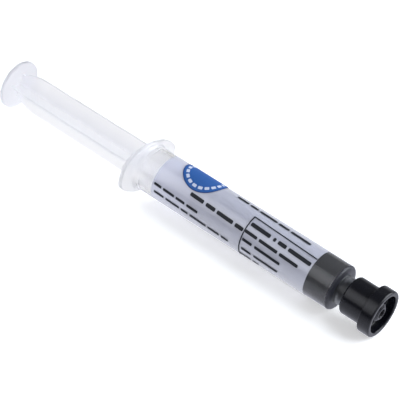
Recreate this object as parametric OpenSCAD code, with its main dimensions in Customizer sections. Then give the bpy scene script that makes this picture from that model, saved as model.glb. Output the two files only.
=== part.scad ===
// Syringe of solder paste, lying on its finger flange and cap, nose towards +X.
// Stations run along the axis, in mm, from the rear face of the finger flange.

/* [Barrel] */
// Length from the rear face of the flange to the shoulder
barrel_l = 89; // [80:1:110]
// Diameter of the bore that the stopper slides in
bore_d = 15.6; // [14:0.1:17]
// Wall of the barrel at the flange
wall_rear = 0.9; // [0.7:0.05:1.6]
// Wall of the barrel at the shoulder, thinner by the mould's draft
wall_front = 0.75; // [0.6:0.05:1.5]
// Wall across the front end
end_wall = 1.2; // [0.9:0.1:2.5]
// Radius of the moulded outer edges of the barrel
edge_r = 0.4; // [0.1:0.05:0.55]

/* [Finger flange] */
// Length over the two finger rests
flange_l = 30; // [26:0.5:32]
// Width between the two long sides
flange_w = 19.8; // [19:0.1:22]
// Thickness of the flange plate
flange_t = 1.75; // [1.2:0.05:2.5]
// Radius of the long bowed sides
side_r = 24; // [22:1:60]
// Radius of the four corners
corner_r = 5.4; // [1:0.1:5.8]

/* [Nose] */
// Outer diameter of the lock collar
collar_d = 10.7; // [10:0.1:11.5]
// Length of the lock collar from the shoulder
collar_l = 8.5; // [7:0.1:10]
// Inner diameter of the lock collar
collar_bore_d = 8; // [7.8:0.1:8.6]
// Length of the luer tip from the shoulder
tip_l = 10.6; // [10:0.1:12]
// Diameter of the luer tip at its end
tip_d = 3.97; // [3.9:0.01:4.1]
// Diameter of the channel through the tip
channel_d = 2.2; // [1.6:0.1:2.6]

/* [Plunger] */
// Length of the rod from the back of the thumb disc to the pressure disc
rod_l = 91; // [80:1:110]
// Diameter of the thumb disc
thumb_d = 19.2; // [16:0.1:24]
// Thickness of the thumb disc
thumb_t = 1.5; // [1:0.1:3]
// Thickness of each of the four ribs
rib_t = 1; // [0.7:0.05:1.6]
// Gap between the ribs' edges and the bore
rib_gap = 0.65; // [0.3:0.05:1.2]
// How far the ribs draw in where they meet the thumb disc
rib_waist = 2.45; // [1:0.05:3.5]
// Radius of the curve that leads into the waist
waist_r = 16; // [10:1:30]
// Turn of the ribs from the flange's long axis, in degrees
rib_turn = -8; // [-45:1:45]
// Thickness of the pressure disc behind the stopper
disc_t = 1.3; // [0.8:0.1:2]

/* [Stopper] */
// Length of the rubber stopper without its nose
stopper_l = 7.6; // [7:0.1:10]
// Width of each sealing ring
ring_w = 1.7; // [1:0.1:2]
// Depth of the groove between the sealing rings
groove_depth = 0.6; // [0.3:0.05:1]

/* [Fill and label] */
// Length of the column of paste ahead of the stopper
fill_l = 53.5; // [20:0.5:58]
// Bare barrel between the flange's rear face and the label
label_start = 10.3; // [5:0.1:14]
// Length of the label
label_l = 68.5; // [50:0.5:70]
// Thickness of the label film
label_t = 0.12; // [0.08:0.01:0.3]
// Strip left bare where the label's ends meet
seam_w = 1.2; // [0.5:0.1:4]

/* [Tip cap] */
// Bare neck between the shoulder and the cap
neck_l = 3.8; // [2:0.1:4.5]
// Length of the cap's sleeve behind the grip ring
sleeve_l = 8.85; // [8.5:0.05:10]
// Wall of the sleeve
sleeve_wall = 1.4; // [1:0.05:1.6]
// Diameter of the grip ring
grip_d = 17.8; // [17.2:0.1:18.8]
// Length of the grip ring
grip_l = 4.85; // [4.5:0.05:7]
// Wall of the grip ring
grip_wall = 1.8; // [1.2:0.1:1.9]
// Thickness of the web that closes the sleeve
web_t = 1.45; // [1:0.05:2]
// Diameter of the hub in the recess
hub_d = 7.2; // [6.8:0.1:8]
// Distance of the hub's face behind the front of the grip ring
hub_back = 0.8; // [0.2:0.1:1.5]
// Diameter of the dimple in the hub
dimple_d = 3.5; // [2:0.1:4]
// Distance of the socket's mouth from the floor of the lock collar
socket_back = 0.4; // [0.3:0.1:3]
// Wall of the socket round the luer tip
socket_wall = 1.15; // [0.8:0.05:1.2]

/* [Fits] */
// Running clearance of the stopper in the bore, on the radius
slide_gap = 0.05; // [0.02:0.01:0.1]
// Clearance of the rod's head in the stopper
head_gap = 0.1; // [0.05:0.01:0.2]
// Clearance of the cap's cone on the luer tip
cone_gap = 0.05; // [0.02:0.01:0.1]
// Clearance of the cap's sleeve round the collar
sleeve_gap = 0.35; // [0.3:0.05:0.6]
// Gap under the label and round the paste
film_gap = 0.02; // [0.01:0.01:0.05]

/* [Hidden] */
$fn = 96;

bore_r = bore_d / 2;
rear_r = bore_r + wall_rear;
front_r = bore_r + wall_front;
collar_r = collar_d / 2;
channel_r = channel_d / 2;
bore_end = barrel_l - end_wall;
funnel_r = 3;
funnel_l = funnel_r - channel_r;
// The retaining bead that keeps the stopper from being pulled out
bead_h = 0.15;
bead_s = 4;
lead_in = 0.5;

stopper_r = bore_r - slide_gap;
stopper_front = bore_end - fill_l;
stopper_rear = stopper_front - stopper_l;
neck_r = 2.4;
neck_in = 1.8;
head_r = 3.6;
head_l = 2.6;
rib_r = bore_r - rib_gap;
disc_front = stopper_rear - head_gap;
thumb_rear = disc_front - rod_l;
thumb_front = thumb_rear + thumb_t;

luer_taper = 0.03;
cap_mouth = barrel_l + neck_l;
grip_rear = cap_mouth + sleeve_l;
cap_front = grip_rear + grip_l;
sleeve_inner_r = collar_r + sleeve_gap;
sleeve_r = sleeve_inner_r + sleeve_wall;
recess_r = grip_d / 2 - grip_wall;
web_front = grip_rear + web_t;
hub_r = hub_d / 2;
hub_front = cap_front - hub_back;
tip_end = barrel_l + tip_l;
collar_floor = barrel_l + end_wall;
socket_mouth = collar_floor + socket_back;
lug_w = 3.4;
lug_l = 1.5;

axis_h = max(flange_w, thumb_d, grip_d) / 2;
mid_s = (cap_front + thumb_rear) / 2;

function tip_r(s) = tip_d / 2 + luer_taper * (tip_end - s);

function barrel_r(s) = rear_r + (front_r - rear_r) * s / barrel_l;

// Points on an arc of radius r about a centre [station, radius], from angle a to angle b
function arc(centre, r, a, b, steps = 8) =
    [for (i = [0:steps]) centre + r * [cos(a + (b - a) * i / steps), sin(a + (b - a) * i / steps)]];

// Solid of revolution about the syringe's axis, from points [station, radius]
module turned(points) {
    translate([-mid_s, 0, axis_h])
        rotate([0, 90, 0])
            rotate_extrude()
                polygon([for (p = points) [p[1], p[0]]]);
}

// Places children drawn across the axis, with their X along the flange, at a station
module across(station) {
    translate([station - mid_s, 0, axis_h])
        rotate([90, 0, 90])
            children();
}

// The corner that two arcs leave, outside the round that touches both
module flange_corner() {
    end_r = flange_l / 2;
    side_c = side_r - flange_w / 2;
    // The round's centre lies at these distances from the centres of the end and side arcs
    a = end_r - corner_r;
    b = side_r - corner_r;
    y = (b * b - a * a - side_c * side_c) / (2 * side_c);
    x = sqrt(a * a - y * y);
    to_end = [x, y] / a;
    to_side = [x, y + side_c] / b;
    difference() {
        linear_extrude(flange_t + 2)
            polygon([[x, y], [x, y] + 3 * corner_r * to_end, [x, y] + 3 * corner_r * to_side]);
        translate([x, y, -1])
            cylinder(r = corner_r, h = flange_t + 4);
    }
}

// Oval plate: two ends round about the axis, two bowed sides and four rounded corners
module flange_plate() {
    bow = side_r - flange_w / 2;
    across(0)
        difference() {
            intersection() {
                cylinder(d = flange_l, h = flange_t);
                translate([0, -bow, 0])
                    cylinder(r = side_r, h = flange_t);
                translate([0, bow, 0])
                    cylinder(r = side_r, h = flange_t);
            }
            for (sx = [0, 1], sy = [0, 1])
                mirror([sx, 0, 0])
                    mirror([0, sy, 0])
                        translate([0, 0, -1])
                            flange_corner();
            translate([0, 0, -1])
                cylinder(r = rear_r - 0.1, h = flange_t + 2);
        }
}

// One moulding: flange, drafted tube, shoulder, lock collar and luer tip
module barrel() {
    root = 0.8;
    collar_end = barrel_l + collar_l;
    rim = edge_r / 2;
    outside = concat(
        [[0, rear_r], [flange_t, rear_r + root], [flange_t + root, barrel_r(flange_t + root)]],
        arc([barrel_l - edge_r, front_r - edge_r], edge_r, 90, 0),
        arc([barrel_l + edge_r, collar_r + edge_r], edge_r, 180, 270),
        arc([collar_end - rim, collar_r - rim], rim, 90, 0)
    );
    nose = concat(
        [[collar_end, collar_bore_d / 2], [collar_floor, collar_bore_d / 2], [collar_floor, tip_r(collar_floor)]],
        arc([tip_end - rim, tip_r(tip_end) - rim], rim, 90, 0),
        [[tip_end, channel_r], [bore_end + funnel_l, channel_r], [bore_end, funnel_r]]
    );
    inside = [
        [bore_end, bore_r],
        [bead_s + 0.5, bore_r],
        [bead_s, bore_r - bead_h],
        [bead_s - 0.5, bore_r],
        [lead_in, bore_r],
        [0, bore_r + lead_in]
    ];
    color("#e6e8f1") {
        flange_plate();
        turned(concat(outside, nose, inside));
    }
}

module label() {
    inner = film_gap;
    outer = film_gap + label_t;
    label_end = label_start + label_l;
    color("#d2d5e2")
        difference() {
            turned([
                [label_start, barrel_r(label_start) + inner],
                [label_start, barrel_r(label_start) + outer],
                [label_end, barrel_r(label_end) + outer],
                [label_end, barrel_r(label_end) + inner]
            ]);
            translate([label_start - 1 - mid_s, -seam_w / 2, 0])
                cube([label_l + 2, seam_w, axis_h - bore_r]);
        }
}

module solder_paste() {
    paste_r = bore_r - film_gap;
    thread_r = channel_r - film_gap;
    color("#4a4b50")
        turned([
            [stopper_front + film_gap, 0],
            [stopper_front + film_gap, paste_r],
            [bore_end - film_gap, paste_r],
            [bore_end - film_gap, funnel_r - film_gap],
            [bore_end + funnel_l, thread_r],
            [tip_end - 0.5, thread_r],
            [tip_end - 0.5, 0]
        ]);
}

module stopper() {
    groove_r = stopper_r - groove_depth;
    cavity_rear = stopper_rear + neck_in - head_gap;
    cavity_front = cavity_rear + head_l + 2 * head_gap;
    soft = 0.3;
    color("#2b2b2e")
        turned([
            [stopper_rear, neck_r + head_gap],
            [stopper_rear, stopper_r - soft],
            [stopper_rear + soft, stopper_r],
            [stopper_rear + ring_w, stopper_r],
            [stopper_rear + ring_w + groove_depth, groove_r],
            [stopper_front - ring_w - groove_depth, groove_r],
            [stopper_front - ring_w, stopper_r],
            [stopper_front - soft, stopper_r],
            [stopper_front, stopper_r - soft],
            [stopper_front, 0],
            [cavity_front, 0],
            [cavity_front, head_r + head_gap],
            [cavity_rear, head_r + head_gap],
            [cavity_rear, neck_r + head_gap]
        ]);
}

// One rib pair as a flat plate, with its waist behind the thumb disc
module rib_pair() {
    waist = rib_r - rib_waist;
    // The curve leaves the straight edge and reaches the waist after this run
    run = sqrt(waist_r * waist_r - pow(waist_r - rib_waist, 2));
    fall = acos((waist_r - rib_waist) / waist_r);
    shelf = 1.5;
    curve_end = thumb_front + shelf + run;
    upper = concat(
        [[thumb_front - thumb_t / 2, waist], [thumb_front + shelf, waist]],
        arc([curve_end, rib_r - waist_r], waist_r, 90 + fall, 90, 10),
        [[disc_front - disc_t / 2, rib_r]]
    );
    lower = [for (i = [len(upper) - 1:-1:0]) [upper[i][0], -upper[i][1]]];
    translate([-mid_s, 0, 0])
        rotate([90, 0, 0])
            translate([0, 0, -rib_t / 2])
                linear_extrude(rib_t)
                    polygon(concat(upper, lower));
}

module plunger_rod() {
    rim = thumb_t / 3;
    // The head is snapped into the stopper behind this station
    head_s = stopper_rear + neck_in;
    disc_r = bore_r - 0.4;
    color("#e6e7f1") {
        turned(concat(
            [[thumb_rear, 0]],
            arc([thumb_rear + rim, thumb_d / 2 - rim], rim, 180, 90),
            arc([thumb_front - rim, thumb_d / 2 - rim], rim, 90, 0),
            [[thumb_front, 0]]
        ));
        for (turn = [0, 90])
            translate([0, 0, axis_h])
                rotate([rib_turn + turn, 0, 0])
                    rib_pair();
        turned([
            [disc_front - disc_t, 0],
            [disc_front - disc_t, disc_r],
            [disc_front, disc_r],
            [disc_front, neck_r],
            [head_s, neck_r],
            [head_s, head_r],
            [head_s + head_l * 0.4, head_r],
            [head_s + head_l, head_r / 2],
            [head_s + head_l, 0]
        ]);
    }
}

// One moulding: sleeve over the lock collar, socket for the tip, grip ring with a hub in its recess
module tip_cap() {
    round_r = 0.3;
    mouth_r = sleeve_r - 0.37;
    dimple_r = dimple_d / 2;
    dimple_floor = hub_front - 1.5;
    socket_r = tip_r(socket_mouth) + cone_gap;
    socket_end = tip_end + 0.8;
    boss_r = socket_r + socket_wall;
    lug_r = collar_bore_d / 2 - 0.15;
    outside = concat(
        [[cap_mouth, sleeve_inner_r], [cap_mouth, mouth_r], [cap_mouth + 0.6, sleeve_r], [grip_rear, sleeve_r]],
        arc([grip_rear + round_r, grip_d / 2 - round_r], round_r, 180, 90),
        arc([cap_front - round_r, grip_d / 2 - round_r], round_r, 90, 0)
    );
    recess = concat(
        [[cap_front, recess_r], [web_front, recess_r], [web_front, hub_r]],
        [[hub_front - 0.2, hub_r], [hub_front, hub_r - 0.2]],
        [[hub_front, dimple_r], [dimple_floor, dimple_r - 0.3], [dimple_floor, 0]]
    );
    inside = [
        [socket_end, 0],
        [socket_end, tip_r(socket_end) + cone_gap],
        [socket_mouth, socket_r],
        [socket_mouth, boss_r],
        [grip_rear, boss_r],
        [grip_rear, sleeve_inner_r]
    ];
    color("#1c1c20") {
        turned(concat(outside, recess, inside));
        // Lugs that catch the lock collar's thread
        intersection() {
            turned([
                [socket_mouth, boss_r - 0.3],
                [socket_mouth, lug_r],
                [socket_mouth + lug_l, lug_r],
                [socket_mouth + lug_l, boss_r - 0.3]
            ]);
            translate([socket_mouth - 1 - mid_s, -lug_w / 2, 0])
                cube([lug_l + 2, lug_w, 2 * axis_h]);
        }
    }
}

barrel();
label();
solder_paste();
stopper();
plunger_rod();
tip_cap();
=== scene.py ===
import math

import bmesh
import bpy
from mathutils import Matrix, Vector


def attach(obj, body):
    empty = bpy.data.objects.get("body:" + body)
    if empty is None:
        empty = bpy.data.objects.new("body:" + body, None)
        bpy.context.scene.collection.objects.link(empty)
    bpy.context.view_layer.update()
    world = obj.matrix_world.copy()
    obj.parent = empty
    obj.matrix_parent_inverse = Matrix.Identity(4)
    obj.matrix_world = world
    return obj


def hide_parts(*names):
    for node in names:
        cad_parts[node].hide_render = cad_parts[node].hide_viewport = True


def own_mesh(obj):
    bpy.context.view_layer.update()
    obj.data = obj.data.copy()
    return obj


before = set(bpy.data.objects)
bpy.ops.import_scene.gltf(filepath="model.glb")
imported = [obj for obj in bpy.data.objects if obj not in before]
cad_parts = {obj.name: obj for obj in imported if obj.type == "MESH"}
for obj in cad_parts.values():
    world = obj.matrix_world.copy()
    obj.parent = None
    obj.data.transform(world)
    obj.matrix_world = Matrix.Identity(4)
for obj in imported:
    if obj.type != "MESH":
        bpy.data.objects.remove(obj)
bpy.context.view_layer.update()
scene = bpy.context.scene

# Pieces are drawn in mm about the syringe's own axis, nose towards +X, and placed in metres at the end
syringe = {"axisHeight": 9.9, "segments": 160}
toRow = Matrix.Translation((0, 0, syringe["axisHeight"] / 1000)) @ Matrix.Scale(0.001, 4)


def linearColour(hexValue):
    parts = [int(hexValue[i:i + 2], 16) / 255 for i in (0, 2, 4)]
    return (*[c / 12.92 if c <= 0.04045 else ((c + 0.055) / 1.055) ** 2.4 for c in parts], 1)


# Adds a shader node; a socket is named by its label, or as _0 or _1 by its place, and takes a value or a link
def addNode(tree, kind, settings=None, **sockets):
    made = tree.nodes.new("ShaderNode" + kind)
    for name, value in (settings or {}).items():
        setattr(made, name, value)
    for name, value in sockets.items():
        socket = made.inputs[int(name[1:]) if name[1:].isdigit() else name.replace("_", " ")]
        if isinstance(value, bpy.types.NodeSocket):
            tree.links.new(value, socket)
        else:
            socket.default_value = value
    return made


def newMaterial(name):
    material = bpy.data.materials.new(name)
    material.use_nodes = True
    material.node_tree.nodes.clear()
    return material, material.node_tree


# A noise and a colour that drifts with it between two tones; stretch under 1 draws it out along that axis
def mottle(tree, scale, detail, dark, light, stretch=(1, 1, 1)):
    place = addNode(tree, "TexCoord")
    drawn = addNode(tree, "Mapping", Vector=place.outputs["Object"], Scale=stretch)
    noise = addNode(tree, "TexNoise", Vector=drawn.outputs["Vector"], Scale=scale, Detail=detail)
    tint = addNode(tree, "ValToRGB", Fac=noise.outputs["Fac"])
    tint.color_ramp.elements[0].color = linearColour(dark)
    tint.color_ramp.elements[1].color = linearColour(light)
    return noise.outputs["Fac"], tint.outputs["Color"]


# Clear plastic that bends what is seen through it, and still lets the lamps reach what lies behind
def letThrough(tree, skin, shade):
    path = addNode(tree, "LightPath")
    seeThrough = addNode(tree, "BsdfTransparent", Color=linearColour(shade))
    pick = addNode(tree, "MixShader", _0=path.outputs["Is Shadow Ray"], _1=skin.outputs["BSDF"],
                   _2=seeThrough.outputs["BSDF"])
    addNode(tree, "OutputMaterial", Surface=pick.outputs["Shader"])


def roundCorner(bm, verts, offset, segments):
    bmesh.ops.bevel(bm, geom=verts, offset=offset, offset_type="OFFSET", affect="VERTICES", segments=segments,
                    profile=0.5, material=-1)


# Spins a line of [station, radius, corner round] about the axis into a skin
def turned(rows, closed=False, segments=syringe["segments"]):
    bm = bmesh.new()
    line = [bm.verts.new((x, radius, 0)) for x, radius, _ in rows]
    for a, b in zip(line, line[1:] + line[:1] if closed else line[1:]):
        bm.edges.new((a, b))
    for vert, row in zip(line, rows):
        if row[2]:
            roundCorner(bm, [vert], row[2], 4)
    bmesh.ops.spin(bm, geom=bm.verts[:] + bm.edges[:], cent=(0, 0, 0), axis=(1, 0, 0),
                   angle=math.tau, steps=segments, use_merge=True, use_duplicate=False)
    bmesh.ops.remove_doubles(bm, verts=bm.verts, dist=0.0005)
    bmesh.ops.recalc_face_normals(bm, faces=bm.faces)
    return bm


# Edges sharper than this many degrees stay crisp, the rest are shaded as one curve
creaseAngle = 35


def shadeCurves(piece, weighted=True):
    piece.data.shade_smooth()
    piece.data.set_sharp_from_angle(angle=math.radians(creaseAngle))
    if weighted:
        modifier = piece.modifiers.new("weighted", "WEIGHTED_NORMAL")
        modifier.keep_sharp = True


def finishPiece(name, bm, material, body, weighted=True):
    bm.transform(toRow)
    mesh = bpy.data.meshes.new(name)
    bm.to_mesh(mesh)
    bm.free()
    piece = bpy.data.objects.new(name, mesh)
    scene.collection.objects.link(piece)
    mesh.materials.append(material)
    shadeCurves(piece, weighted)
    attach(piece, body)
    return piece


# Joins bodies that were moulded in one into one closed skin
def unite(piece, parts):
    for part in parts:
        join = piece.modifiers.new(part.name, "BOOLEAN")
        join.operation = "UNION"
        join.solver = "EXACT"
        join.object = part
    bpy.context.view_layer.update()
    joined = bpy.data.meshes.new_from_object(piece.evaluated_get(bpy.context.evaluated_depsgraph_get()))
    piece.modifiers.clear()
    piece.data = joined
    for part in parts:
        bpy.data.objects.remove(part)
    shadeCurves(piece)
    return joined


# ---- camera
# Place, lens and lean were fitted to the photograph's round edges
camera = {"place": (0.2588, -0.4556, 0.3003), "right": (0.765, 0.590, 0.258), "back": (0.425, -0.763, 0.487),
          "lens": 151.0, "sensor": 36, "nearest": 0.01}
back = Vector(camera["back"]).normalized()
right = Vector(camera["right"])
right = (right - back * right.dot(back)).normalized()
up = back.cross(right)
lens = bpy.data.cameras.new("camera")
lens.lens = camera["lens"]
lens.sensor_width = camera["sensor"]
lens.clip_start = camera["nearest"]
cameraObject = bpy.data.objects.new("camera", lens)
cameraObject.matrix_world = Matrix.Translation(camera["place"]) @ Matrix((right, up, back)).transposed().to_4x4()
scene.collection.objects.link(cameraObject)
scene.camera = cameraObject
print("camera placed")

# ---- barrel
# Clarified polypropylene, injection moulded. The tube's outside comes from a polished tool and is glossy, the bore
# blurs what is behind it, and the thick flange and the bare tube by it gather more haze. The front wall and the
# collar are tinted darker than the clear plastic is: painted shade that stands in for the dark paste and black cap
# seen through them
def clarifiedPlastic(name, roughness, clear, coat, pale="fbfbfb", paler="fdfdfd"):
    finish, tree = newMaterial(name)
    haze, tint = mottle(tree, 220.0, 2.0, pale, paler, stretch=(0.15, 1, 1))  # along the melt's flow
    ripple = addNode(tree, "Bump", Strength=0.02, Distance=0.0002, Height=haze)
    skin = addNode(tree, "BsdfPrincipled", Base_Color=tint, Roughness=roughness, IOR=1.49, Transmission_Weight=clear,
                   Coat_Weight=coat, Coat_Roughness=0.16, Coat_IOR=1.49, Normal=ripple.outputs["Normal"])
    letThrough(tree, skin, "f7f7f7")
    return finish


barrelGloss = clarifiedPlastic("clarifiedPolypropylenePolished", 0.2, 0.985, 0.8)
barrelBore = clarifiedPlastic("clarifiedPolypropyleneBore", 0.3, 0.97, 0)
barrelFlange = clarifiedPlastic("clarifiedPolypropyleneMoulded", 0.35, 0.86, 0.2, "fafafd", "fcfcfe")
# The front wall's violet-grey tint is painted shade: it darkens the table seen through the clear wall
barrelNosePaintedShade = clarifiedPlastic("clarifiedPolypropyleneNosePaintedShade", 0.4, 0.985, 0, "a8acc4", "b2b6ce")
# The collar's dark grey tint is painted shade: it stands in for the black cap and paste seen through the clear
# collar, and the thread inside takes it too
barrelCollarPaintedShade = clarifiedPlastic("clarifiedPolypropyleneCollarPaintedShade", 0.3, 0.985, 0, "7c8088", "858992")

barrel = {
    "flangeEnd": 15, "flangeWidth": 9.9, "sideRadius": 24, "cornerRadius": 5.4, "plateRoot": 9.6,
    "rear": -21.05, "length": 89, "tubeRear": 8.7, "tubeFront": 8.55, "milkyTo": -10.9, "polishedTo": 65.7,
    "boreEnd": 66.7, "collarFrom": 67.8, "collarReach": 5.6, "segments": 240, "rows": [
        [-21.05, 15, 0.45], [-19.3, 15, 0.45], [-19.3, 9.5, 0.5], [-18.5, 8.7, 0.4],
        [67.95, 8.55, 0.9], [67.95, 5.35, 0.4], [76.45, 5.35, 0.2], [76.45, 4.0, 0.1],
        [69.15, 4.0, 0.3], [69.15, 2.27, 0.3], [78.55, 1.985, 0.2], [78.55, 1.1, 0.08],
        [68.65, 1.1, 0], [66.75, 3.0, 0.2], [66.75, 7.8, 0.4], [-16.55, 7.8, 0],
        [-17.05, 7.65, 0.1], [-17.55, 7.8, 0], [-20.55, 7.8, 0.2], [-21.05, 8.3, 0.2]],
}


# Distance from the axis to the flange's outline: round ends, bowed sides, rounded corners
def flangeOutline(angle):
    y, z = abs(math.cos(angle)), abs(math.sin(angle))
    end, bow = barrel["flangeEnd"], barrel["sideRadius"] - barrel["flangeWidth"]
    side = -bow * z + math.sqrt((bow * z) ** 2 + barrel["sideRadius"] ** 2 - bow ** 2)
    a, b = end - barrel["cornerRadius"], barrel["sideRadius"] - barrel["cornerRadius"]
    cz = (b * b - a * a - bow * bow) / (2 * bow)
    cy = math.sqrt(a * a - cz * cz)
    along = y * cy + z * cz
    off = barrel["cornerRadius"] ** 2 - (cy * cy + cz * cz - along * along)
    corner = along + math.sqrt(off) if off > 0 else end
    fromSide = math.atan2(cz + bow, cy)
    fromEnd = math.atan2(cz, cy)
    touchSide = math.atan2(cz + barrel["cornerRadius"] * math.sin(fromSide),
                           cy + barrel["cornerRadius"] * math.cos(fromSide))
    here = math.atan2(z, y)
    return end if here < fromEnd else (corner if here < touchSide else side)


bm = turned(barrel["rows"], closed=True, segments=barrel["segments"])
for vert in bm.verts:
    radius = math.hypot(vert.co.y, vert.co.z)
    if radius > barrel["plateRoot"] and vert.co.x < 0:
        angle = math.atan2(vert.co.z, vert.co.y)
        wanted = flangeOutline(angle) - (barrel["flangeEnd"] - radius)
        vert.co.y *= wanted / radius
        vert.co.z *= wanted / radius
barrelFinishes = {"tube": barrelGloss, "bore": barrelBore, "flange": barrelFlange, "nose": barrelNosePaintedShade,
                  "collar": barrelCollarPaintedShade}
for face in bm.faces:
    centre = face.calc_center_median()
    outward = face.normal.y * centre.y + face.normal.z * centre.z
    if outward > 0 and barrel["milkyTo"] < centre.x < barrel["polishedTo"]:
        area = "tube"
    elif centre.x < barrel["milkyTo"]:
        area = "flange"
    elif centre.x > barrel["collarFrom"] and math.hypot(centre.y, centre.z) < barrel["collarReach"]:
        area = "collar"
    else:
        area = "nose" if centre.x > barrel["boreEnd"] else "bore"
    face.material_index = list(barrelFinishes).index(area)
barrelPiece = finishPiece("syringeBarrel", bm, barrelGloss, "barrel")
for finish in list(barrelFinishes.values())[1:]:
    barrelPiece.data.materials.append(finish)
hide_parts("barrel")

# Two starts of thread inside the lock collar, broken above and below where the cap's lugs stand
thread = {"from": 71.6, "root": 4.05, "crest": 3.6, "rootWidth": 0.9, "crestWidth": 0.3, "lead": 5.0, "turn": 104,
          "steps": 26, "startsAt": [[-52, 0], [-52, 2.3], [128, 0], [128, 2.3]]}
bm = bmesh.new()
for start, ahead in thread["startsAt"]:
    middle, angle = thread["from"] + ahead, math.radians(start)
    rootHalf, crestHalf = thread["rootWidth"] / 2, thread["crestWidth"] / 2
    corners = [(middle - rootHalf, thread["root"]), (middle + rootHalf, thread["root"]),
               (middle + crestHalf, thread["crest"]), (middle - crestHalf, thread["crest"])]
    profile = bm.faces.new([bm.verts.new((x, radius * math.cos(angle), radius * math.sin(angle)))
                            for x, radius in corners])
    bmesh.ops.spin(bm, geom=profile.verts[:] + profile.edges[:] + [profile], cent=(0, 0, 0), axis=(1, 0, 0),
                   dvec=(thread["lead"] * thread["turn"] / 360 / thread["steps"], 0, 0),
                   angle=math.radians(thread["turn"]), steps=thread["steps"], use_duplicate=False)
bmesh.ops.holes_fill(bm, edges=[e for e in bm.edges if e.is_boundary], sides=4)
bmesh.ops.recalc_face_normals(bm, faces=bm.faces)
finishPiece("collarThread", bm, barrelCollarPaintedShade, "barrel", weighted=False)
print("barrel moulded")

# ---- plunger rod
# Natural polypropylene from a satin tool, with a soft gloss and no coat. The ribs' long edges take a greyer, less
# clear copy of it, painted shade that draws a dark line along the near rib, and the thumb disc a greyer copy, painted
# shade
def naturalPlastic(name, clear, pale, paler):
    finish, tree = newMaterial(name)
    haze, tint = mottle(tree, 260.0, 3.0, pale, paler)
    ripple = addNode(tree, "Bump", Strength=0.05, Distance=0.0002, Height=haze)
    skin = addNode(tree, "BsdfPrincipled", Base_Color=tint, Roughness=0.38, IOR=1.49, Transmission_Weight=clear,
                   Normal=ripple.outputs["Normal"])
    letThrough(tree, skin, "f5f5f5")
    return finish


rodFinish = naturalPlastic("naturalPolypropyleneMoulded", 0.9, "f8f8fb", "f9f9fc")
# Greyer than the rod: painted shade that holds the disc's brightness down where the lamps overlight it
discPaintedShade = naturalPlastic("naturalPolypropyleneDiscPaintedShade", 0.8, "e9e9ee", "ececf1")
# Greyer and less clear: painted shade that draws the dark line along the rib edge
ribEdgePaintedShade = naturalPlastic("naturalPolypropyleneRibEdgePaintedShade", 0.7, "f0f0f4", "f2f2f6")

rod = {
    "ribReach": 7.15, "ribThick": 1.0, "waist": 4.7, "waistCurve": 16, "waistSteps": 14, "turn": -8,
    "rootRound": 0.35, "tipRound": 0.28, "near": 0.1,
    "discTo": -83.9, "edgeFrom": -74, "ribsFrom": -84.7, "shelfEnd": -82.45, "ribsTo": 5.0,
    "thumbDisc": [[-85.45, 0, 0], [-85.45, 9.6, 0.5], [-83.95, 9.6, 0.5], [-83.95, 0, 0]],
    "rodFront": [[4.25, 0, 0], [4.25, 7.4, 0.25], [5.55, 7.4, 0.25], [5.55, 2.4, 0], [7.45, 2.4, 0],
                  [7.45, 3.6, 0.2], [8.5, 3.6, 0.3], [10.05, 1.8, 0.3], [10.05, 0, 0]],
}


# The four ribs as one plus-shaped section, pulled along the rod station by station
def pulledRibs():
    half, reach = rod["ribThick"] / 2, rod["ribReach"]
    bm = bmesh.new()
    corners = [(reach, -half), (reach, half), (half, half), (half, reach), (-half, reach), (-half, half),
               (-reach, half), (-reach, -half), (-half, -half), (-half, -reach), (half, -reach), (half, -half)]
    verts = [bm.verts.new((rod["ribsFrom"], y, z)) for y, z in corners]
    face = bm.faces.new(verts)
    for vert, (y, z) in zip(verts, corners):
        atRoot = abs(y) == half and abs(z) == half
        roundCorner(bm, [vert], rod["rootRound"] if atRoot else rod["tipRound"], 3)
    curve = rod["waistCurve"]
    run = math.sqrt(curve ** 2 - (curve - reach + rod["waist"]) ** 2)
    stations = [(rod["ribsFrom"], rod["waist"]), (rod["shelfEnd"], rod["waist"])]
    for i in range(1, rod["waistSteps"] + 1):
        x = run * i / rod["waistSteps"]
        stations.append((rod["shelfEnd"] + x, reach - curve + math.sqrt(curve ** 2 - (run - x) ** 2)))
    stations.append((rod["ribsTo"], reach))
    section = bm.faces[:]
    rims = [list(section[0].verts)]
    for x, _ in stations[1:]:
        grown = bmesh.ops.extrude_face_region(bm, geom=section)
        section = [g for g in grown["geom"] if isinstance(g, bmesh.types.BMFace)]
        rims.append([g for g in grown["geom"] if isinstance(g, bmesh.types.BMVert)])
        for vert in rims[-1]:
            vert.co.x = x
    for rim, (x, radius) in zip(rims, stations):
        for vert in rim:
            for axis in (1, 2):
                if abs(vert.co[axis]) > half + rod["rootRound"] + rod["near"]:
                    vert.co[axis] -= math.copysign(reach - radius, vert.co[axis])
    inner = [face for face in bm.faces if abs(face.normal.x) > 0.9
             and rod["ribsFrom"] + rod["near"] < face.calc_center_median().x < rod["ribsTo"] - rod["near"]]
    bmesh.ops.delete(bm, geom=inner, context="FACES")
    bmesh.ops.rotate(bm, verts=bm.verts, cent=(0, 0, 0), matrix=Matrix.Rotation(math.radians(rod["turn"]), 3, "X"))
    bmesh.ops.recalc_face_normals(bm, faces=bm.faces)
    return bm


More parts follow.
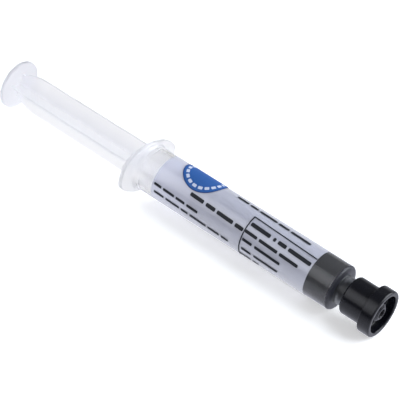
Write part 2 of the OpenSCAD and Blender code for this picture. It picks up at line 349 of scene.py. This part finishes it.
rodPiece = finishPiece("plungerRod", pulledRibs(), rodFinish, "rod", weighted=False)
ends = [finishPiece(name, turned(rod[name]), rodFinish, "rod", weighted=False)
        for name in ("thumbDisc", "rodFront")]
joined = unite(rodPiece, ends)
joined.materials.clear()
for finish in (rodFinish, discPaintedShade, ribEdgePaintedShade):
    joined.materials.append(finish)
turnBack = Matrix.Rotation(math.radians(-rod["turn"]), 3, "X")
for face in joined.polygons:
    along, *across = turnBack @ (toRow.inverted() @ face.center)
    onEdge = max(map(abs, across)) > rod["ribReach"] - rod["near"] / 2 and min(map(abs, across)) < rod["ribThick"] / 2
    onRibs = rod["edgeFrom"] < along < rod["ribsTo"]
    face.material_index = 1 if along < rod["discTo"] else 2 if onEdge and onRibs else 0
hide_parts("plunger_rod")
print("plunger rod moulded")

# ---- stopper
# Black butyl rubber, compression moulded: dull, with a faint bloom
stopperFinish, tree = newMaterial("butylRubberMoulded")
_, tint = mottle(tree, 900.0, 4.0, "232326", "333338")
skin = addNode(tree, "BsdfPrincipled", Base_Color=tint, Roughness=0.6, IOR=1.52)
addNode(tree, "OutputMaterial", Surface=skin.outputs["BSDF"])

# Drawn from the bottom of the recess for the rod's head, round the two sealing rings, to the front
stopper = {"segments": 128, "rows": [
    [10.25, 0, 0], [10.25, 3.7, 0.1], [7.35, 3.7, 0.1], [7.35, 2.5, 0.1], [5.65, 2.5, 0.1], [5.65, 7.82, 0.5],
    [7.35, 7.82, 0.3], [7.95, 7.15, 0.3], [10.95, 7.15, 0.3], [11.55, 7.82, 0.3], [13.25, 7.82, 0.5], [13.25, 0, 0]]}
bm = turned(stopper["rows"], segments=stopper["segments"])
stopperPiece = finishPiece("rubberStopper", bm, stopperFinish, "stopper")
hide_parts("stopper")
print("stopper moulded")

# ---- solder paste
# Tin alloy powder of 25 to 45 micrometres in flux: dull and dark by itself, and the gloss of the wall before it
# lifts it to the window's grey. The grain is drawn coarser than it is, so that it shows
pasteFinish, tree = newMaterial("solderPastePowderInFlux")
place = addNode(tree, "TexCoord")
grain = addNode(tree, "TexNoise", Vector=place.outputs["Object"], Scale=1500.0, Detail=2.0)
smear = addNode(tree, "TexNoise", Vector=place.outputs["Object"], Scale=260.0, Detail=3.0)
both = addNode(tree, "Math", {"operation": "MULTIPLY_ADD"}, _0=grain.outputs["Fac"], _1=0.5, _2=smear.outputs["Fac"])
tint = addNode(tree, "ValToRGB", Fac=both.outputs["Value"])
tint.color_ramp.elements[0].position = 0.4
tint.color_ramp.elements[0].color = linearColour("15161c")
tint.color_ramp.elements[1].position = 1.1
tint.color_ramp.elements[1].color = linearColour("1b1d25")
skin = addNode(tree, "BsdfPrincipled", Base_Color=tint.outputs["Color"], Roughness=0.6)
addNode(tree, "OutputMaterial", Surface=skin.outputs["BSDF"])

# The column reaches a hair into the wall, so that no film of air shows between paste and plastic. It shortens
# towards the bore's end as the stopper comes, down to the 0.3 mm that stay there
paste = {"segments": 128, "column": [[13.27, 0, 0], [13.27, 7.83, 0.1], [66.76, 7.83, 0.4], [66.76, 0, 0]],
         "filling": [[66.77, 0, 0], [66.77, 3.03, 0.1], [68.68, 1.13, 0.2], [78.05, 1.13, 0.1], [78.05, 0, 0]]}
bm = turned(paste["column"], segments=paste["segments"])
columnPiece = finishPiece("pasteColumn", bm, pasteFinish, "barrel")
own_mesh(columnPiece)
bm = turned(paste["filling"], segments=paste["segments"])
finishPiece("pasteFilling", bm, pasteFinish, "barrel")
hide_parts("solder_paste")
print("paste filled")

# ---- label
# Thin white polypropylene film with a gloss lacquer. More than half of the light goes through, so the paste and the
# stopper behind it grey it and the ribs show at its rear end, and it looks a cool lavender and not paper white
labelFinish, tree = newMaterial("whiteFilmLacquered")
cloud, tint = mottle(tree, 120.0, 2.0, "e4e6f5", "eaecf9")
ripple = addNode(tree, "Bump", Strength=0.05, Distance=0.0002, Height=cloud)
skin = addNode(tree, "BsdfPrincipled", Base_Color=tint, Roughness=0.14, IOR=1.6, Coat_Weight=1, Coat_Roughness=0.12,
               Coat_IOR=1.65, Transmission_Weight=0.62, Sheen_Weight=0.6, Sheen_Roughness=0.5,
               Normal=ripple.outputs["Normal"])
letThrough(tree, skin, "f9f9fc")

# The film's two ends meet below with a gap, and "seam" is half of that gap in degrees
label = {"from": -10.75, "to": 57.75, "seam": 4.0, "middle": 90, "thick": 0.12, "clearance": 0.02, "steps": 220,
         "rings": 36}


# Outer radius of the drafted tube at a station
def tubeRadius(x):
    share = (x - barrel["rear"]) / barrel["length"]
    return barrel["tubeRear"] + (barrel["tubeFront"] - barrel["tubeRear"]) * share


# Bends a flat sheet, x along the barrel and y in degrees round it (0 at +Y, 90 on top), onto the tube
def wrapped(bm, rise):
    for vert in bm.verts:
        angle = math.radians(vert.co.y)
        radius = tubeRadius(vert.co.x) + rise
        vert.co = (vert.co.x, radius * math.cos(angle), radius * math.sin(angle))


bm = bmesh.new()
bmesh.ops.create_grid(bm, x_segments=label["rings"], y_segments=label["steps"], size=0.5)
bmesh.ops.scale(bm, verts=bm.verts, vec=(label["to"] - label["from"], 360 - 2 * label["seam"], 1))
bmesh.ops.translate(bm, verts=bm.verts, vec=((label["to"] + label["from"]) / 2, label["middle"], 0))
wrapped(bm, label["clearance"])
bmesh.ops.recalc_face_normals(bm, faces=bm.faces)
bmesh.ops.solidify(bm, geom=bm.faces[:], thickness=label["thick"])
bmesh.ops.recalc_face_normals(bm, faces=bm.faces)
labelPiece = finishPiece("printedLabel", bm, labelFinish, "barrel")
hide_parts("label")
print("label wrapped")

# ---- print on the label
# Flexographic ink, a few micrometres thick with a little gloss, drawn thicker so that it stays a solid
def printInk(name, dark, light):
    finish, tree = newMaterial(name)
    _, tint = mottle(tree, 2500.0, 2.0, dark, light)
    skin = addNode(tree, "BsdfPrincipled", Base_Color=tint, Roughness=0.55, IOR=1.45)
    addNode(tree, "OutputMaterial", Surface=skin.outputs["BSDF"])
    return finish


# Places are a station in mm and an angle in degrees; each line of words gives its middle, its height in mm, the
# share of it that the bar fills, and the lengths of its words and gaps in turn
artwork = {
    "degree": 0.1515, "lean": 0.28, "rise": 0.15, "layer": 0.015, "thick": 0.012, "strip": 0.45, "strips": (-16, 90),
    "barRound": 0.3, "discSegments": 72,
    "roundel": {"at": [4.1, 81], "edge": 8.8, "radius": 8.45, "dashes": 18, "dashRing": 7.0, "dash": [1.7, 1.2],
                "dashRound": 0.3},
    "lines": [
        [17.0, 151.6, 3.2, 0.44, [6.1, 1.1, 4.2, 0.9, 7.3, 1.0, 3.7]],
        [0.2, 176.2, 2.3, 0.44, [3.4, 0.8, 5.2, 0.8, 4.1, 0.9, 5.1]],
        [7.8, 198.2, 2.3, 0.44, [4.6, 0.9, 6.3, 0.8, 3.2, 0.9, 7.4, 0.8, 5.2, 0.9, 3.2]],
        [35.4, 89.5, 2.8, 0.42, [5.1, 0.8, 3.6, 0.8, 7.7, 0.8, 4.6, 0.9, 8.7]],
        [43.8, 136.0, 2.9, 0.5, [8.6, 1.4, 1.1, 1.0, 3.6, 1.0, 9.9]],
        [41.6, 156.4, 2.6, 0.44, [5.4, 0.9, 8.1, 0.9, 8.1]],
        [38.6, 175.8, 2.4, 0.44, [4.2, 1.2, 11.2]],
        [38.7, 199.7, 2.4, 0.44, [4.3, 1.2, 10.4]],
        [34.2, 220.4, 2.2, 0.44, [4.8, 0.9, 2.6]]],
    "frame": {"from": 29.5, "to": 57.7, "top": 117.0, "bottom": 237.0, "middle": 44.0, "stroke": 0.45, "round": 0.1},
}
ink = {name: bmesh.new() for name in ("black", "blue", "pale", "edge")}


# Height on the flat sheet of a place at an angle; the sheet is wound on with a slight lean
def heightOf(angle, x):
    return (angle - artwork["lean"] * x) * artwork["degree"]


def addPatch(bm, x, y, width, height, corner, turn=0, about=(0, 0)):
    corners = bmesh.ops.create_grid(bm, x_segments=1, y_segments=1, size=0.5)["verts"]
    bmesh.ops.scale(bm, verts=corners, vec=(width, height, 1))
    bmesh.ops.translate(bm, verts=corners, vec=(x, y, 0))
    bmesh.ops.rotate(bm, verts=corners, cent=(*about, 0), matrix=Matrix.Rotation(turn, 3, "Z"))
    roundCorner(bm, corners, corner, 4)


def addDisc(bm, centre, radius):
    rim = bmesh.ops.create_circle(bm, cap_ends=True, radius=radius, segments=artwork["discSegments"])["verts"]
    bmesh.ops.translate(bm, verts=rim, vec=(*centre, 0))


# Cuts the flat print into narrow strips so that it bends with the tube, then lays it there
def layPrint(name, bm, inkFinish, rise):
    for i in range(*artwork["strips"]):
        bmesh.ops.bisect_plane(bm, geom=bm.verts[:] + bm.edges[:] + bm.faces[:], dist=0.00001,
                               plane_co=(0, i * artwork["strip"], 0), plane_no=(0, 1, 0))
    for vert in bm.verts:
        vert.co.y = vert.co.y / artwork["degree"] + artwork["lean"] * vert.co.x
    wrapped(bm, rise)
    bmesh.ops.solidify(bm, geom=bm.faces[:], thickness=artwork["thick"])
    bmesh.ops.recalc_face_normals(bm, faces=bm.faces)
    finishPiece(name, bm, inkFinish, "barrel", weighted=False)


roundel = artwork["roundel"]
centre = (roundel["at"][0], heightOf(roundel["at"][1], roundel["at"][0]))
addDisc(ink["edge"], centre, roundel["edge"])
addDisc(ink["blue"], centre, roundel["radius"])
for i in range(roundel["dashes"]):
    addPatch(ink["pale"], centre[0], centre[1] + roundel["dashRing"], *roundel["dash"], roundel["dashRound"],
             turn=math.tau * i / roundel["dashes"], about=centre)
for x, angle, height, share, words in artwork["lines"]:
    start, bar = x - sum(words) / 2, height * share
    for i, length in enumerate(words):
        if i % 2 == 0:
            addPatch(ink["black"], start + length / 2, heightOf(angle, x), length, bar, bar * artwork["barRound"])
        start += length
box = artwork["frame"]
top, bottom = heightOf(box["top"], box["middle"]), heightOf(box["bottom"], box["middle"])
for y in (top, bottom):
    addPatch(ink["black"], (box["from"] + box["to"]) / 2, y, box["to"] - box["from"], box["stroke"], box["round"])
addPatch(ink["black"], box["from"] + box["stroke"] / 2, (top + bottom) / 2, box["stroke"], bottom - top, box["round"])
for name, layer, inkName, dark, light in (
        ("edge", 0, "Navy", "1c3f80", "234888"), ("blue", 1, "Blue", "275ba4", "2f63ac"),
        ("pale", 2, "Pale", "c9d3ea", "d3dcf0"), ("black", 0, "Black", "14161f", "1d2029")):
    layPrint("print" + name.capitalize(), ink[name], printInk("flexoInk" + inkName, dark, light),
             artwork["rise"] + layer * artwork["layer"])
print("label printed")

# ---- tip cap
# Polyethylene filled with carbon black, moulded: the eye gets a cool black with broad, soft-edged lights
capFinish, tree = newMaterial("blackPolyethyleneMoulded")
grain, tint = mottle(tree, 700.0, 3.0, "0b0c12", "11121a")
ripple = addNode(tree, "Bump", Strength=0.08, Distance=0.0001, Height=grain)
skin = addNode(tree, "BsdfPrincipled", Base_Color=tint, Roughness=0.21, IOR=1.51, Normal=ripple.outputs["Normal"])
addNode(tree, "OutputMaterial", Surface=skin.outputs["BSDF"])

# Drawn from the blind end of the hub's hole over the hub, the grip ring and the sleeve to the luer socket inside
cap = {"lugWidth": 3.4, "lugRound": 0.2, "lugFrom": 69.6, "lugTo": 71.05, "lugReach": 3.85, "lugRoot": 2.9, "rows": [
    [83.15, 0, 0], [83.15, 1.45, 0.1], [84.65, 1.75, 0.15], [84.65, 2.35, 0.15], [83.95, 3.6, 0.25],
    [82.05, 3.6, 0.2], [82.05, 7.1, 0.3], [85.45, 7.1, 0.4], [85.45, 8.9, 0.6], [80.6, 8.9, 0.4], [80.6, 7.1, 0.3],
    [72.35, 7.1, 0.2], [71.75, 6.73, 0.15], [71.75, 5.7, 0.15], [80.6, 5.7, 0.3], [80.6, 3.455, 0.2],
    [69.55, 3.455, 0.15], [69.55, 2.305, 0.15], [79.35, 2.0, 0.1], [79.35, 0, 0]]}
capPiece = finishPiece("tipCap", turned(cap["rows"]), capFinish, "cap", weighted=False)
bm = bmesh.new()
for side in (-1, 1):
    lug = bmesh.ops.create_cube(bm, size=1)["verts"]
    bmesh.ops.scale(bm, verts=lug, vec=(cap["lugTo"] - cap["lugFrom"], cap["lugWidth"],
                                        cap["lugReach"] - cap["lugRoot"]))
    bmesh.ops.translate(bm, verts=lug, vec=((cap["lugTo"] + cap["lugFrom"]) / 2, 0,
                                            side * (cap["lugReach"] + cap["lugRoot"]) / 2))
bmesh.ops.bevel(bm, geom=bm.edges[:], offset=cap["lugRound"], segments=3, profile=0.5, affect="EDGES")
unite(capPiece, [finishPiece("capLugs", bm, capFinish, "cap", weighted=False)])
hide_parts("tip_cap")
print("cap moulded")

# ---- studio
# A white table that the eye sees with the part's soft shadow on it, fading into a white ground further off. Seen
# through the plastic it is a shade under white. In reflections it is dark before the part and pale behind it, which
# draws the long lights and dark lines on the tube, as card screens do round the real thing
studio = {"floorHalf": (1.2, 0.65), "floorAt": (0, 0.38, -0.00002), "floorGrey": 0.85, "floorShow": 0.42,
          "floorThrough": 1.0, "fadeFrom": 0.22, "fadeTo": 0.4, "mirrorDark": -0.055, "mirrorPale": -0.008,
          "mirrorLevels": (0.05, 0.9), "mirrorTone": (0.86, 0.88, 1, 1), "airInMirror": 0.115,
          "lampTone": (0.92, 0.94, 1), "topTone": (0.9, 0.945, 1)}
bm = bmesh.new()
bmesh.ops.create_grid(bm, x_segments=1, y_segments=1, size=1)
bmesh.ops.scale(bm, verts=bm.verts, vec=(*studio["floorHalf"], 1))
bmesh.ops.translate(bm, verts=bm.verts, vec=studio["floorAt"])
floorMesh = bpy.data.meshes.new("floor")
bm.to_mesh(floorMesh)
bm.free()
floor = bpy.data.objects.new("floor", floorMesh)
scene.collection.objects.link(floor)
floorFinish, tree = newMaterial("whiteTable")
path = addNode(tree, "LightPath")
where = addNode(tree, "TexCoord")
white = (1, 1, 1, 1)
grey = studio["floorGrey"]
matt = addNode(tree, "BsdfDiffuse", Color=(grey, grey, grey, 1))
glow = addNode(tree, "Emission", Color=white, Strength=studio["floorShow"])
shadowed = addNode(tree, "AddShader", _0=matt.outputs["BSDF"], _1=glow.outputs["Emission"])
distance = addNode(tree, "VectorMath", {"operation": "LENGTH"}, _0=where.outputs["Object"])
far = addNode(tree, "MapRange", Value=distance.outputs["Value"], From_Min=studio["fadeFrom"],
              From_Max=studio["fadeTo"])
farSeen = addNode(tree, "Math", {"operation": "MULTIPLY"}, _0=far.outputs["Result"],
                  _1=path.outputs["Is Camera Ray"])
plain = addNode(tree, "Emission", Color=white, Strength=1.0)
table = addNode(tree, "MixShader", _0=farSeen.outputs["Value"], _1=shadowed.outputs["Shader"],
                _2=plain.outputs["Emission"])
split = addNode(tree, "SeparateXYZ", Vector=where.outputs["Object"])
fade = addNode(tree, "MapRange", Value=split.outputs["Y"], From_Min=studio["mirrorDark"],
               From_Max=studio["mirrorPale"], To_Min=studio["mirrorLevels"][0], To_Max=studio["mirrorLevels"][1])
mirrored = addNode(tree, "Emission", Color=studio["mirrorTone"], Strength=fade.outputs["Result"])
pick = addNode(tree, "MixShader", _0=path.outputs["Is Glossy Ray"], _1=table.outputs["Shader"],
               _2=mirrored.outputs["Emission"])
through = addNode(tree, "Emission", Color=white, Strength=studio["floorThrough"])
last = addNode(tree, "MixShader", _0=path.outputs["Is Transmission Ray"], _1=pick.outputs["Shader"],
               _2=through.outputs["Emission"])
addNode(tree, "OutputMaterial", Surface=last.outputs["Shader"])
floorMesh.materials.append(floorFinish)

world = bpy.data.worlds.new("world")
scene.world = world
world.use_nodes = True
tree = world.node_tree
tree.nodes.clear()
path = addNode(tree, "LightPath")
seen = addNode(tree, "Math", {"operation": "MAXIMUM"}, _0=path.outputs["Is Camera Ray"],
               _1=path.outputs["Is Transmission Ray"])
level = addNode(tree, "MapRange", Value=seen.outputs["Value"], To_Min=studio["airInMirror"], To_Max=1.0)
air = addNode(tree, "Background", Color=white, Strength=level.outputs["Result"])
addNode(tree, "OutputWorld", Surface=air.outputs["Background"])


def addLamp(name, place, width, height, radiance, tone=studio["lampTone"]):
    lamp = bpy.data.lights.new(name, "AREA")
    lamp.shape = "RECTANGLE"
    lamp.size = width
    lamp.size_y = height
    lamp.color = tone
    lamp.energy = radiance * width * height * math.pi  # watts for that radiance over the whole face
    lampObject = bpy.data.objects.new(name, lamp)
    aim = (-Vector(place)).to_track_quat("-Z", "Y")
    lampObject.matrix_world = Matrix.Translation(place) @ aim.to_matrix().to_4x4()
    lampObject.visible_camera = False
    lampObject.visible_transmission = False
    scene.collection.objects.link(lampObject)


addLamp("softbox", (-0.42, -0.72, 0.5), 1.1, 0.95, 0.8)
addLamp("fillBox", (0.75, -0.45, 0.6), 0.9, 0.9, 0.6)
addLamp("topBox", (0.52, 0.48, 0.85), 1.2, 1.15, 3.5, studio["topTone"])
addLamp("backBox", (0.75, 0.75, 0.45), 0.8, 0.7, 1.6)
addLamp("wallBox", (-0.5, 1.1, 0.26), 1.2, 0.5, 0.3)
addLamp("softboxCore", (-0.41, -0.74, 0.53), 1.0, 0.45, 0.4)
scene.view_settings.view_transform = "Standard"
print("studio lit")
